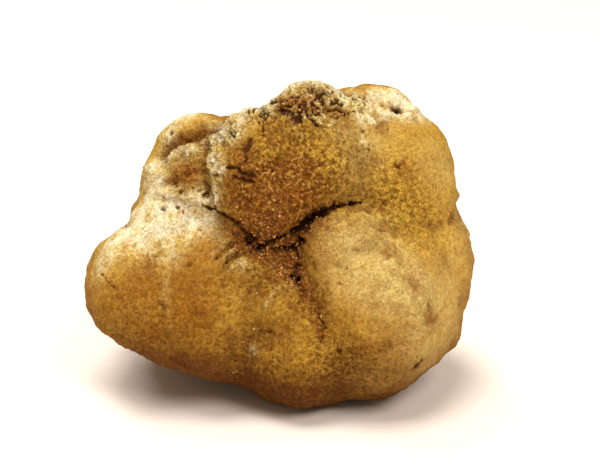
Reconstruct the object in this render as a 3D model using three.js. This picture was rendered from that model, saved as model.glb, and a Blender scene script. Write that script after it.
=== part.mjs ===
// A whole fresh white truffle: one solid, knobbly fruiting body whose lobes have grown into each other.
//
// The body is described in two steps. First come the lobes: rounded swellings around a common core, each an
// ellipsoid that runs softly into the lobes before it. Then come the furrows: grooves pressed into the skin
// along smooth routes, mostly where two lobes meet. A fine ball of triangles is shrunk onto that
// description, which gives one closed skin over all the lobes. Its lowest part is levelled off, as the
// small flat spot that the truffle rests on.
//
// Millimetres, +Z up, +X to the truffle's right, -Y to its front. The origin is under the middle, on the
// surface that the truffle rests on.
import * as THREE from "three";
import { mergeVertices } from "three/addons/utils/BufferGeometryUtils.js";
import { ImprovedNoise } from "three/addons/math/ImprovedNoise.js";

// Driving dimensions.
const SWELL_HEIGHT = 0.9; // unevenness of the lobes themselves
const SWELL_LENGTH = 12; // distance from one swell to the next
const LUMP_HEIGHT = 0.4; // smaller bumps on top of the swells
const LUMP_LENGTH = 5.5;

// How finely and evenly the skin is meshed.
const SKIN_DETAIL = 22; // splits of each edge of the starting ball: it has 20 * (detail + 1)^2 triangles
const RELAX_ROUNDS = 70; // rounds of evening out the triangles
const CROWDING = 2; // how much more the triangles gather in furrows than on the lobes
const FEEL = 3; // distance off the skin at which a furrow is felt

// How the skin is found.
const OUTSIDE = 70; // distance from the core that is clear of every lobe
const STRIDE = 0.6; // share of the measured gap that is walked at each step
const TOUCH = 0.01; // gap that counts as having arrived
const MOST_STEPS = 200;
const PROBE = 0.05; // distance over which the direction of the skin is felt
const SETTLE_PASSES = 2; // corrections that bring a nearby point onto the skin
const FURROW_STEPS = 14; // straight stretches along a furrow's route

// Each lobe: its middle, its half-sizes, its lean about the Y axis in degrees, and how softly it runs into
// the lobes before it.
const LOBES = {
  core: { at: [2, 8, 26], half: [25, 17, 20], blend: 0 },

  back_left: { at: [-14, 15, 22], half: [15, 14, 16], blend: 4 },
  back_right: { at: [17, 16, 24], half: [15, 13, 17], blend: 4 },
  back_low: { at: [0, 19, 13], half: [15, 9, 11], lean: -14, blend: 5 },
  back_top: { at: [-3, 15, 40], half: [15, 12, 12], lean: 24, blend: 4 },
  back_high: { at: [11, 14, 45], half: [9, 10, 9], blend: 4 },
  sole: { at: [5, 1, 11], half: [22, 18, 13], blend: 6 },

  crown: { at: [3, 0, 44], half: [14.5, 14.5, 14.5], blend: 3 },
  crown_left: { at: [-5, 1, 46.5], half: [9.5, 11.5, 9.5], blend: 4 },
  crown_right: { at: [10, -2, 46], half: [7, 10, 10], blend: 3 },
  crown_tip: { at: [-1, -6.5, 38], half: [9, 8.5, 8], blend: 4 },
  crown_knob: { at: [6, 0.5, 55.5], half: [7.8, 8, 8], blend: 4 },

  right_upper: { at: [22.5, 6, 42], half: [13, 15, 14.5], blend: 3 },
  right_nub: { at: [19.3, 8, 55], half: [7.8, 7, 5.8], blend: 2 },
  right_yoke: { at: [14.5, 3, 51], half: [7, 8, 9], blend: 4 },

  left_shoulder: { at: [-21, 3, 34], half: [9.5, 10.5, 8], blend: 3 },
  left_upper_low: { at: [-19.4, 5, 42], half: [7.8, 8.5, 8], blend: 2.5 },
  left_upper_high: { at: [-16.6, 7, 48.4], half: [7.8, 8, 7], blend: 2 },
  left_yoke: { at: [-13, 2, 42], half: [7, 8, 11], blend: 4 },
  left_front: { at: [-23.1, -4, 22.6], half: [15.6, 15.5, 13.1], lean: 11, blend: 1.5 },
  left_keel: { at: [-18, -4, 14.9], half: [11, 10, 9], blend: 4 },
  left_belly: { at: [-16, 7, 12.4], half: [13, 11.5, 9.5], blend: 4 },
  left_rear: { at: [-24, 10.5, 16], half: [11.5, 12, 10.5], blend: 4 },
  left_inner: { at: [-12, -10, 20.5], half: [11, 11, 13.5], blend: 4 },
  left_brow: { at: [-12.5, -7.5, 31], half: [8, 7, 6.8], blend: 4 },

  mouth_floor: { at: [-2, -9, 30], half: [9, 7.5, 5.5], blend: 3 },
  front_foot: { at: [5, -12.5, 15.3], half: [11, 9.8, 14.5], blend: 3 },
  foot_bump: { at: [0.5, -14.5, 23.5], half: [6, 6, 5.5], blend: 2 },

  right_side: { at: [31, 0, 26], half: [8, 12, 11], blend: 3 },
  right_low: { at: [27.6, -3, 16.6], half: [8.6, 12, 9.4], blend: 3 },
  right_keel: { at: [17.7, -6, 13.5], half: [13.6, 13, 12.9], blend: 4 },
  right_front: { at: [18.5, -8, 21], half: [16, 16, 18], blend: 1.5 },
  right_lip: { at: [11, -11, 35], half: [8, 7, 7.5], blend: 3 },
  right_saddle: { at: [25, 0, 33], half: [8, 11, 8], blend: 5 },
  right_bridge: { at: [19.5, -4.5, 39.5], half: [7, 7, 7], blend: 4 },
};

// Each furrow: points near the skin that its route runs past, its width, and its depth at each end.
const FURROWS = {
  mouth_right: { past: [[17, -10, 42.5], [11, -13, 43], [7, -15, 41.5], [4, -15, 38], [1, -15, 34]],
    width: 1.8, depth: [1.5, 5] },
  mouth_left: { past: [[1, -15, 34], [-6, -13, 34], [-13, -8, 38]], width: 1.8, depth: [5, 2] },
  foot_seam: { past: [[3, -15, 35], [3, -17, 31], [5, -20, 27], [8, -23, 21], [7, -23, 15]],
    width: 1.6, depth: [5, 0.8] },

  left_valley: { past: [[-23, -8, 34], [-24, -17, 28], [-23, -20, 20]], width: 2.5, depth: [1, 0.8] },
  left_upper_fold: { past: [[-26, 2, 48], [-20, -2, 49], [-14, -3, 52]], width: 2, depth: [0.8, 1.2] },
  shelf_fold: { past: [[-27, -1, 42], [-21, -4, 42], [-14, -5, 44.5]], width: 1.6, depth: [0.7, 0.9] },

  left_crown_fold: { past: [[-11, 0, 54], [-12.5, -5, 48], [-13, -7, 42]], width: 2, depth: [0.8, 1.6] },
  crown_hollow: { past: [[2, -12, 55], [1, -15, 46], [0, -16, 42]], width: 5, depth: [1.2, 1] },
  knob_fold: { past: [[10, -3, 60], [14, -6, 54], [15, -9, 48]], width: 1.8, depth: [0.8, 0.5] },
  nub_fold: { past: [[15, 3, 62], [19, -1, 57], [21, -4, 52]], width: 1.8, depth: [1.2, 0.6] },

  back_fold: { past: [[-26, 18, 36], [-10, 28, 31], [6, 28, 29], [20, 27, 35]],
    width: 2.5, depth: [1, 2.4] },
  back_seam: { past: [[3, 30, 29], [0, 30, 18], [-5, 24, 6]], width: 2, depth: [2.4, 0.8] },
  side_fold: { past: [[34, 14, 38], [35, 12, 28], [33, 12, 16]], width: 2.2, depth: [0.6, 1.8] },
  under_fold: { past: [[-20, 8, 6], [-12, 4, 0], [-8, -6, 2]], width: 2.5, depth: [0.8, 2] },
};

const Y_AXIS = new THREE.Vector3(0, 1, 0);

const lobes = Object.values(LOBES).map(({ at, half, lean = 0, blend }) => ({
  middle: new THREE.Vector3(...at),
  radii: new THREE.Vector3(...half),
  unlean: new THREE.Quaternion().setFromAxisAngle(Y_AXIS, -THREE.MathUtils.degToRad(lean)),
  blend,
}));
const core = lobes[0].middle;

// About how far a point is from one lobe's surface, below zero inside it.
function distanceToLobe(point, lobe) {
  const scaled = point.clone().sub(lobe.middle).applyQuaternion(lobe.unlean).divide(lobe.radii);
  const reach = scaled.length();
  const slope = scaled.divide(lobe.radii).length();
  return slope === 0 ? -lobe.radii.x : (reach * (reach - 1)) / slope;
}

// Joins two distances with a rounded valley that is about as wide as blend.
function softUnion(a, b, blend) {
  if (blend === 0) return Math.min(a, b);
  const share = THREE.MathUtils.clamp(0.5 + (0.5 * (b - a)) / blend, 0, 1);
  return THREE.MathUtils.lerp(b, a, share) - blend * share * (1 - share);
}

function distanceToLobes(point) {
  const [first, ...others] = lobes;
  return others.reduce(
    (nearest, lobe) => softUnion(nearest, distanceToLobe(point, lobe), lobe.blend),
    distanceToLobe(point, first),
  );
}

const noise = new ImprovedNoise();

function unevenness({ x, y, z }) {
  const swell = noise.noise(x / SWELL_LENGTH + 3, y / SWELL_LENGTH, z / SWELL_LENGTH);
  const lump = noise.noise(x / LUMP_LENGTH, y / LUMP_LENGTH + 7, z / LUMP_LENGTH);
  return SWELL_HEIGHT * swell + LUMP_HEIGHT * lump;
}

// Walks from outside towards the core until it meets a skin, which is where the shape's distance is zero.
function dropOntoSkin(direction, distanceToShape) {
  const point = direction.clone().multiplyScalar(OUTSIDE).add(core);
  for (let step = 0; step < MOST_STEPS; step++) {
    const gap = distanceToShape(point);
    if (gap < TOUCH) break;
    point.addScaledVector(direction, -STRIDE * gap);
  }
  return point;
}

// A furrow's route is smooth, and each of its points lies on the lobes, straight out from the core.
const furrows = Object.values(FURROWS).map(({ past, width, depth }) => {
  const route = new THREE.CatmullRomCurve3(past.map((corner) => new THREE.Vector3(...corner)));
  const points = route
    .getSpacedPoints(FURROW_STEPS)
    .map((point) => dropOntoSkin(point.sub(core).normalize(), distanceToLobes));
  const reach = new THREE.Box3().setFromPoints(points).expandByScalar(3 * width);
  return { points, width, depth, reach };
});

// The distance from a point to a route, and the share of the route's length at which it is nearest.
function nearestOnRoute(point, route) {
  let gap = Infinity;
  let along = 0;
  for (let i = 0; i + 1 < route.length; i++) {
    const stretch = new THREE.Line3(route[i], route[i + 1]);
    const share = stretch.closestPointToPointParameter(point, true);
    const distance = stretch.at(share, new THREE.Vector3()).distanceTo(point);
    if (distance < gap) {
      gap = distance;
      along = (i + share) / (route.length - 1);
    }
  }
  return { gap, along };
}

// How deep all the furrows together cut in at a point.
function furrowDepth(point) {
  return furrows
    .filter(({ reach }) => reach.containsPoint(point))
    .reduce((total, { points, width, depth }) => {
      const { gap, along } = nearestOnRoute(point, points);
      return total + THREE.MathUtils.lerp(...depth, along) * Math.exp(-((gap / width) ** 2));
    }, 0);
}

// About how far a point is from the truffle's skin, below zero inside the flesh.
function distanceToSkin(point) {
  return distanceToLobes(point) - unevenness(point) + furrowDepth(point);
}

// The distance to the skin at a point, and the direction in which that distance grows.
function feelSkin(point) {
  const distance = distanceToSkin(point);
  const outward = new THREE.Vector3();
  for (const axis of ["x", "y", "z"]) {
    const ahead = point.clone();
    ahead[axis] += PROBE;
    outward[axis] = (distanceToSkin(ahead) - distance) / PROBE;
  }
  return { distance, outward };
}

// Moves a point that is near the skin onto it.
function settleOntoSkin(point) {
  for (let pass = 0; pass < SETTLE_PASSES; pass++) {
    const { distance, outward } = feelSkin(point);
    const push = THREE.MathUtils.clamp(distance / outward.lengthSq(), -1, 1);
    point.addScaledVector(outward, -push);
  }
}

// 0 on a lobe, towards 1 in the bottom of a furrow.
function hollowness(point) {
  const { outward } = feelSkin(point);
  const above = point.clone().addScaledVector(outward.normalize(), FEEL);
  return THREE.MathUtils.clamp(1 - distanceToSkin(above) / FEEL, 0, 1);
}

function neighboursOf(geometry) {
  const near = Array.from({ length: geometry.attributes.position.count }, () => new Set());
  const corners = geometry.index.array;
  for (let i = 0; i < corners.length; i += 3) {
    for (let j = 0; j < 3; j++) {
      const a = corners[i + j];
      const b = corners[i + ((j + 1) % 3)];
      near[a].add(b);
      near[b].add(a);
    }
  }
  return near.map((set) => [...set]);
}

// The middle of a point's neighbours, drawn towards the far ones and towards those in a furrow.
function drawnMiddle(index, points, near, pull) {
  const sum = new THREE.Vector3();
  let weight = 0;
  for (const other of near[index]) {
    const share = pull[other] * points[other].distanceTo(points[index]);
    sum.addScaledVector(points[other], share);
    weight += share;
  }
  return sum.divideScalar(weight);
}

// Slides the points along the skin until the triangles are even, and smaller in the furrows.
function evenOut(points, near) {
  for (let round = 0; round < RELAX_ROUNDS; round++) {
    const pull = points.map((point) => 1 + CROWDING * hollowness(point));
    const middles = points.map((_, index) => drawnMiddle(index, points, near, pull));
    points.forEach((point, index) => {
      point.lerp(middles[index], 0.5);
      settleOntoSkin(point);
    });
  }
}

function startingBall() {
  const ball = new THREE.IcosahedronGeometry(1, SKIN_DETAIL);
  ball.deleteAttribute("normal");
  ball.deleteAttribute("uv");
  return mergeVertices(ball);
}

function truffleSkin() {
  const skin = startingBall();
  const place = skin.attributes.position;
  const points = Array.from({ length: place.count }, (_, i) => {
    const direction = new THREE.Vector3().fromBufferAttribute(place, i).normalize();
    return dropOntoSkin(direction, distanceToSkin);
  });
  evenOut(points, neighboursOf(skin));
  points.forEach((point, i) => place.setXYZ(i, point.x, point.y, Math.max(0, point.z)));
  skin.computeBoundingBox();
  const middle = skin.boundingBox.getCenter(new THREE.Vector3());
  skin.translate(-middle.x, -middle.y, 0);
  skin.computeVertexNormals();
  return skin;
}

const rind = new THREE.MeshStandardMaterial({ color: 0xb98a42, roughness: 0.85, metalness: 0 });
const truffle = new THREE.Mesh(truffleSkin(), rind);
truffle.name = "truffle";

const part = new THREE.Group();
part.add(truffle);
export default part;
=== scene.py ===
# %% [markdown]
# # A whole white truffle
# A white truffle is the fruiting body of a fungus that grows underground. It swells wherever the soil
# gives way, so it comes out as a lump of lobes pressed together, with tight folds between them. Its rind
# is thin, dry and ochre. It is smooth on the lobes, and it keeps crumbs of soil in the folds. The
# imported solid already has the lobes and the main folds. This lesson gives it the fine surface: lumps,
# grain, cracks, pits, a flaking crust on the crown, soil, and crumbs of soil as real grains. Its colour
# also holds painted light: painted highlights on the tops and crests, and painted shade in the cracks,
# folds and grooves and low down.

import math
from types import SimpleNamespace

import bmesh
import bpy
import numpy as np
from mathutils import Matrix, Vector
from mathutils.bvhtree import BVHTree
from mathutils.kdtree import KDTree


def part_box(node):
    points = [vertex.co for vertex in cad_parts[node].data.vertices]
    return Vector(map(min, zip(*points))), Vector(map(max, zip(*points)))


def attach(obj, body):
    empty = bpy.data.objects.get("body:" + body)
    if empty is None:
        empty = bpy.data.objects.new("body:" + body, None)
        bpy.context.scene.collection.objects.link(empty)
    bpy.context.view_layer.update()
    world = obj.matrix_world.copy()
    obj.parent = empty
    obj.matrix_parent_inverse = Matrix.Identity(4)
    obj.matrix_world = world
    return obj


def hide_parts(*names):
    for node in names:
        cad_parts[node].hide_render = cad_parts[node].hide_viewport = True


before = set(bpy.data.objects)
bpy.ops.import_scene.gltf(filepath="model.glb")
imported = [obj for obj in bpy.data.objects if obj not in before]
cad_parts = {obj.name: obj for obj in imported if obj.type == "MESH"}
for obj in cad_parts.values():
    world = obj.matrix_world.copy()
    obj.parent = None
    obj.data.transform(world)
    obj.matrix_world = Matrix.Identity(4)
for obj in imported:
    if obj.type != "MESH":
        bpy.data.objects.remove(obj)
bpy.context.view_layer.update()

# %% [markdown]
# ## Places on the truffle
# Nothing on a truffle is straight or round, so places are given as shares of its box: across runs from -1
# at the left edge to 1 at the right edge, deep from -1 at the front to 1 at the back, and up from 0 at the
# bottom to 1 at the top. A place written this way moves with the truffle if its size changes.

# %% Units and places
MM = 0.001
LOW, HIGH = (Vector(corner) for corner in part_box("truffle"))
MIDDLE = (LOW + HIGH) / 2
HALF = (HIGH - LOW) / 2


def spot(across, deep, up):
    """A point from its shares of the truffle's box."""
    return Vector((
        MIDDLE.x + across * HALF.x,
        MIDDLE.y + deep * HALF.y,
        LOW.z + up * 2 * HALF.z,
    ))


print("half-sizes of the truffle, mm:", [round(h / MM, 1) for h in HALF])

# %% [markdown]
# ## The skin to work on
# The CAD solid is made of flat triangles up to 3 mm long, which would show as facets. Its mesh is never
# changed, so the lesson copies it, merges the copy, and remeshes it into even quads small enough to hold
# grain. Even quads matter: relief looks the same everywhere only where the mesh is equally fine
# everywhere. Some rounds of smoothing then take the facets away.

# %% Copy, remesh and smooth
SKIN_EDGE = 0.58 * MM
SMOOTHING_ROUNDS = 18


def into_scene(name, mesh):
    piece = bpy.data.objects.new(name, mesh)
    bpy.context.scene.collection.objects.link(piece)
    return piece


def baked(piece, name):
    """Replaces a piece by a plain mesh of what its modifiers make."""
    depsgraph = bpy.context.evaluated_depsgraph_get()
    mesh = bpy.data.meshes.new_from_object(piece.evaluated_get(depsgraph), depsgraph=depsgraph)
    bpy.data.objects.remove(piece)
    mesh.name = name
    return into_scene(name, mesh)


def triangles(piece):
    return sum(len(face.vertices) - 2 for face in piece.data.polygons)


def skin_copy(node, name):
    copy = into_scene(name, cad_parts[node].data.copy())
    copy.data.materials.clear()
    weld = copy.modifiers.new("merge", "WELD")
    weld.merge_threshold = 0.001 * MM
    remesh = copy.modifiers.new("even quads", "REMESH")
    remesh.mode = "VOXEL"
    remesh.voxel_size = SKIN_EDGE
    smooth = copy.modifiers.new("no facets", "SMOOTH")
    smooth.factor = 0.5
    smooth.iterations = SMOOTHING_ROUNDS
    return baked(copy, name)


skin = skin_copy("truffle", "truffle_skin")
print("skin:", triangles(skin), "triangles")

# %% [markdown]
# ## Cracks, pits and ridges
# Folds on a truffle end in cracks that no smooth solid can show: the mouth under the crown is a slit,
# and thin cracks run over the crown where the rind has dried. They could be carved with a sculpting brush,
# but a carved crack can't be moved a little or made wider. So each one is a route: a few places and a
# smooth line through them, laid on the skin, with a width and a depth at each end. Inside, each crack is
# painted dark, as painted shade.

# %% Routes of the cracks
# Each crack: its places, its width and its depth at both ends in millimetres, and how dark its painted shade
# is inside.
CRACKS = {
    "mouth_right": (
        [(0.42, -0.44, 0.67), (0.33, -0.49, 0.67), (0.25, -0.54, 0.665), (0.19, -0.57, 0.65),
         (0.14, -0.58, 0.63)],
        (0.22, 0.85), (0.3, 2.4), 1.0,
    ),
    "mouth_middle": (
        [(0.14, -0.58, 0.63), (0.11, -0.58, 0.61), (0.07, -0.57, 0.59), (0.03, -0.57, 0.57)],
        (0.85, 0.75), (2.4, 2.0), 1.0,
    ),
    "mouth_left": (
        [(0.03, -0.57, 0.57), (-0.04, -0.58, 0.56), (-0.10, -0.56, 0.54), (-0.16, -0.52, 0.56)],
        (0.70, 0.60), (1.6, 1.2), 0.95,
    ),
    "left_notch": (
        [(-0.38, -0.29, 0.64), (-0.33, -0.32, 0.63), (-0.28, -0.40, 0.63), (-0.23, -0.51, 0.62)],
        (0.25, 0.45), (0.5, 1.0), 0.8,
    ),
    "left_notch_end": (
        [(-0.23, -0.51, 0.62), (-0.18, -0.55, 0.59), (-0.13, -0.56, 0.56)],
        (0.65, 0.6), (1.2, 1.1), 0.85,
    ),
    "mouth_floor": (
        [(0.10, -0.57, 0.57), (0.08, -0.56, 0.54), (0.02, -0.55, 0.54), (-0.03, -0.57, 0.54)],
        (0.6, 0.4), (1.4, 0.6), 1.0,
    ),
    "seam_top": (
        [(0.08, -0.56, 0.54), (0.09, -0.58, 0.51), (0.08, -0.63, 0.46), (0.12, -0.71, 0.42)],
        (0.5, 0.35), (1.0, 0.6), 0.65,
    ),
    "seam_foot": (
        [(0.12, -0.71, 0.42), (0.16, -0.77, 0.40), (0.20, -0.81, 0.36), (0.22, -0.84, 0.32),
         (0.20, -0.87, 0.28), (0.19, -0.89, 0.25)],
        (0.50, 0.34), (0.6, 0.3), 0.30,
    ),
    "crown_crack_long": (
        [(-0.27, -0.38, 0.77), (-0.21, -0.45, 0.78), (-0.18, -0.49, 0.77), (-0.12, -0.53, 0.765)],
        (0.50, 0.60), (0.8, 0.8), 0.7,
    ),
    "crown_crack_short": (
        [(-0.22, -0.47, 0.755), (-0.17, -0.52, 0.75), (-0.13, -0.53, 0.75)],
        (0.50, 0.50), (0.7, 0.6), 0.65,
    ),
    "crown_crack_band": (
        [(-0.15, -0.39, 0.86), (-0.17, -0.43, 0.825), (-0.16, -0.46, 0.80)],
        (0.8, 0.7), (0.8, 0.6), 0.55,
    ),
    "crown_crack_upright": (
        [(-0.08, -0.27, 0.91), (-0.08, -0.38, 0.87)],
        (0.24, 0.2), (0.6, 0.4), 0.7,
    ),
    "left_tip_scratch": (
        [(-0.89, -0.51, 0.45), (-0.85, -0.62, 0.44), (-0.80, -0.70, 0.43)],
        (0.30, 0.24), (0.35, 0.20), 0.50,
    ),
    "nub_pit": ([(0.60, 0.03, 0.91), (0.62, 0.06, 0.91)], (0.85, 0.85), (1.9, 1.9), 0.9),
    "seam_hole": ([(0.075, -0.63, 0.465), (0.09, -0.65, 0.45)], (0.75, 0.55), (1.8, 1.5), 1.0),
    "right_slit": ([(0.68, -0.825, 0.198), (0.70, -0.815, 0.213)], (0.65, 0.60), (1.6, 1.6), 1.0),
    "left_dimple": ([(-0.57, -0.79, 0.39), (-0.565, -0.79, 0.385)], (0.9, 0.9), (0.5, 0.5), 0.3),
    "back_crack_high": (
        [(-0.18, 0.96, 0.49), (-0.10, 0.98, 0.47), (-0.03, 0.99, 0.475)],
        (0.45, 0.35), (0.7, 0.4), 0.45,
    ),
    "back_crack_low": (
        [(0.04, 0.98, 0.41), (0.02, 0.98, 0.36), (-0.03, 0.95, 0.31)],
        (0.40, 0.30), (0.6, 0.3), 0.45,
    ),
    "back_scratch": (
        [(0.45, 0.70, 0.68), (0.52, 0.62, 0.72), (0.55, 0.50, 0.77)],
        (0.25, 0.2), (0.5, 0.3), 0.4,
    ),
    "back_pit": ([(-0.35, 0.75, 0.68), (-0.36, 0.76, 0.67)], (0.7, 0.7), (1.2, 1.2), 0.7),
    "right_fold_crack": (
        [(0.93, 0.36, 0.50), (0.94, 0.38, 0.45), (0.92, 0.37, 0.39)],
        (0.45, 0.35), (0.7, 0.4), 0.45,
    ),
    "underside_crack": (
        [(-0.40, 0.10, 0.08), (-0.25, 0.00, 0.02), (-0.18, -0.20, 0.02)],
        (0.5, 0.4), (0.9, 0.5), 0.6,
    ),
}
print(len(CRACKS), "cracks")

# %% [markdown]
# Grit has pressed pits as fine as pinpricks into the rind. A pit is a route that is almost a point, so one
# place, a radius, a depth and a tone are enough. The tone paints the pit dark inside, as painted shade.

# %% The pits
# Each pit: its place, its radius and its depth in millimetres, and how dark its painted shade is.
PITS = [
    (-0.56, 0.03, 0.83, 0.5, 0.5, 0.5), (-0.55, -0.23, 0.69, 0.5, 0.5, 0.5),
    (-0.50, -0.23, 0.67, 0.6, 0.6, 0.6), (-0.59, -0.27, 0.62, 0.5, 0.5, 0.5),
    (-0.52, -0.27, 0.63, 0.5, 0.6, 0.5), (-0.41, -0.26, 0.68, 0.5, 0.5, 0.5),
    (-0.38, -0.28, 0.67, 0.5, 0.6, 0.6), (-0.34, -0.28, 0.71, 0.4, 0.5, 0.5),
    (-0.03, -0.53, 0.78, 0.4, 0.4, 0.6), (-0.25, -0.19, 0.86, 0.4, 0.6, 0.5),
    (-0.28, -0.22, 0.83, 0.4, 0.6, 0.5), (-0.15, -0.23, 0.90, 0.4, 0.5, 0.4),
    (-0.28, -0.36, 0.74, 0.4, 0.5, 0.5), (-0.73, -0.46, 0.54, 0.7, 0.4, 0.3),
    (-0.79, -0.48, 0.52, 0.6, 0.3, 0.3), (-0.71, -0.57, 0.50, 0.6, 0.4, 0.3),
    (-0.62, -0.56, 0.52, 0.7, 0.5, 0.4), (-0.40, -0.37, 0.54, 0.5, 0.4, 0.4),
    (-0.45, -0.64, 0.50, 0.6, 0.4, 0.4), (-0.57, -0.80, 0.36, 0.5, 0.3, 0.3),
    (-0.48, -0.83, 0.37, 0.5, 0.3, 0.3), (-0.26, -0.85, 0.26, 0.5, 0.4, 0.3),
    (0.22, -0.83, 0.33, 0.5, 0.6, 0.6), (0.19, -0.88, 0.27, 0.5, 0.4, 0.4),
    (0.29, -0.90, 0.26, 0.5, 0.5, 0.5), (-0.06, -0.82, 0.31, 0.6, 0.4, 0.4),
    (0.29, -0.83, 0.47, 0.4, 0.3, 0.4), (0.46, -0.94, 0.24, 0.4, 0.4, 0.4),
    (0.41, -0.24, 0.87, 0.5, 0.5, 0.5), (0.51, -0.48, 0.67, 0.5, 0.4, 0.4),
    (0.58, -0.36, 0.77, 0.6, 0.5, 0.5), (-0.60, 0.70, 0.45, 0.7, 0.7, 0.5),
    (0.20, 0.88, 0.60, 0.6, 0.6, 0.5), (0.55, 0.70, 0.45, 0.6, 0.7, 0.5), (0.97, 0.05, 0.40, 0.5, 0.6, 0.5),
    (0.05, 0.40, 0.92, 0.5, 0.6, 0.4),
]
print(len(PITS), "pits")
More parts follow.
